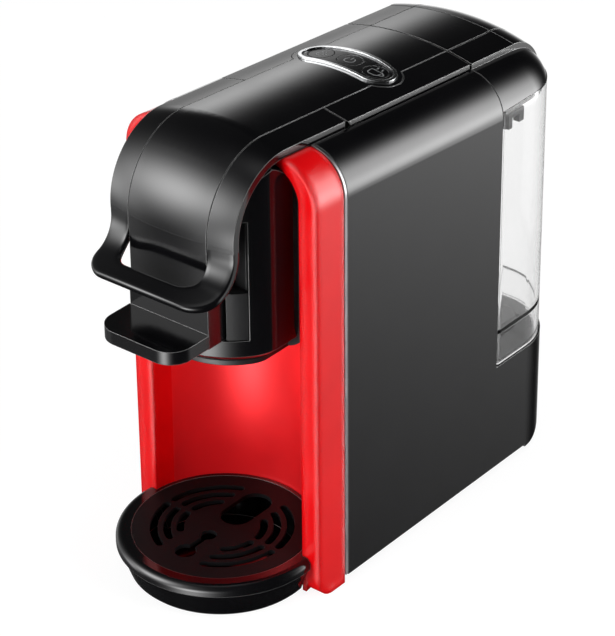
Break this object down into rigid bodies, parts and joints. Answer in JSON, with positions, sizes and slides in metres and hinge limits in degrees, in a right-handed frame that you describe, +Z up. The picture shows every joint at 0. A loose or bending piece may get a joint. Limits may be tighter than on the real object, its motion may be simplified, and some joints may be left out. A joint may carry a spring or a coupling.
{
  "type": "pod coffee machine",
  "caption": "Compact pod coffee machine with a hand lever, pull-out capsule holder, drip tray, lift-off rear water tank and round keys on top.",
  "frame": {"origin": "middle of the footprint, on the table", "axes": "+Z up, -Y towards the user (cup side), +Y towards the water tank, +X to the user's right"},
  "size_m": [0.12, 0.2802, 0.2533],
  "materials": {
    "black_gloss": "gloss",
    "black_satin": "satin",
    "red_gloss": "gloss",
    "silver": "satin",
    "clear_plastic": "clear",
    "dark_rubber": "matt",
    "seal_rubber": "matt",
    "steel": "brushed",
    "grey_plastic": "matt",
    "white_plastic": "matt",
    "cast_alloy": "cast",
    "board_green": "satin",
    "hose_white": "satin"
  },
  "bodies": {
    "machine": {"side_shell_left": "black_gloss", "side_shell_right": "black_gloss", "base_plate": "black_satin", "rubber_feet": "dark_rubber", "case_screws": "steel", "front_frame": "red_gloss", "shell_trim": "silver", "head_core": "black_satin", "head_cover": "black_gloss", "centre_cover": "black_gloss", "top_strip_left": "black_gloss", "top_strip_right": "black_gloss", "panel_bezel": "silver", "panel_plate": "black_gloss", "control_board": "board_green", "key_switches": "black_satin", "chassis": "grey_plastic", "piston_guide": "grey_plastic", "lever_bushes": "white_plastic", "pump": "steel", "pump_mounts": "dark_rubber", "thermoblock": "cast_alloy", "flow_meter": "white_plastic", "inlet_hose": "hose_white", "pressure_hose": "hose_white", "cord_gland": "dark_rubber", "tank_dock": "black_satin", "dock_seal": "seal_rubber"},
    "lever_body": {"lever": "black_gloss", "lever_shaft": "steel"},
    "piston_body": {"brew_piston": "grey_plastic", "piston_seal": "seal_rubber", "piercing_needles": "steel"},
    "holder_body": {"capsule_holder": "black_satin", "capsule_adapter": "black_satin", "spout": "black_satin"},
    "tray_body": {"drip_tray": "black_gloss"},
    "grille_body": {"drip_grille": "black_satin"},
    "tank_body": {"water_tank": "clear_plastic", "tank_valve": "white_plastic", "valve_spring": "steel", "tank_filter": "steel", "tank_clip": "black_satin"},
    "lid_body": {"tank_lid": "black_gloss"},
    "key_small": {"button_small": "black_gloss"},
    "key_power": {"button_power": "black_gloss"},
    "key_large": {"button_large": "black_gloss"}
  },
  "joints": [
    {"name": "lever_hinge", "type": "hinge", "parent": "machine", "child": "lever_body", "pos_m": [0, -0.0389, 0.2335], "axis": [-1, 0, 0], "range_deg": [0, 72]},
    {"name": "piston_slide", "type": "slide", "parent": "machine", "child": "piston_body", "axis": [0, 0, 1], "range_m": [0, 0.00941]},
    {"name": "holder_slide", "type": "slide", "parent": "machine", "child": "holder_body", "axis": [0, -1, 0], "range_m": [0, 0.06]},
    {"name": "tray_slide", "type": "slide", "parent": "machine", "child": "tray_body", "axis": [0, -1, 0], "range_m": [0, 0.08]},
    {"name": "grille_lift", "type": "slide", "parent": "tray_body", "child": "grille_body", "axis": [0, 0, 1], "range_m": [0, 0.06]},
    {"name": "tank_lift", "type": "slide", "parent": "machine", "child": "tank_body", "axis": [0, 0, 1], "range_m": [0, 0.12]},
    {"name": "lid_lift", "type": "slide", "parent": "tank_body", "child": "lid_body", "axis": [0, 0, 1], "range_m": [0, 0.03]},
    {"name": "press_small", "type": "slide", "parent": "machine", "child": "key_small", "axis": [0, -0.0698, -0.9976], "range_m": [0, 0.001], "stiffness_N_per_m": 400, "springref_m": -0.0005},
    {"name": "press_power", "type": "slide", "parent": "machine", "child": "key_power", "axis": [0, -0.0698, -0.9976], "range_m": [0, 0.001], "stiffness_N_per_m": 400, "springref_m": -0.0005},
    {"name": "press_large", "type": "slide", "parent": "machine", "child": "key_large", "axis": [0, -0.0698, -0.9976], "range_m": [0, 0.001], "stiffness_N_per_m": 400, "springref_m": -0.0005}
  ],
  "couplings": [
    {"joint": "piston_slide", "follows": "lever_hinge", "m_per_rad": 0.0074839}
  ]
}
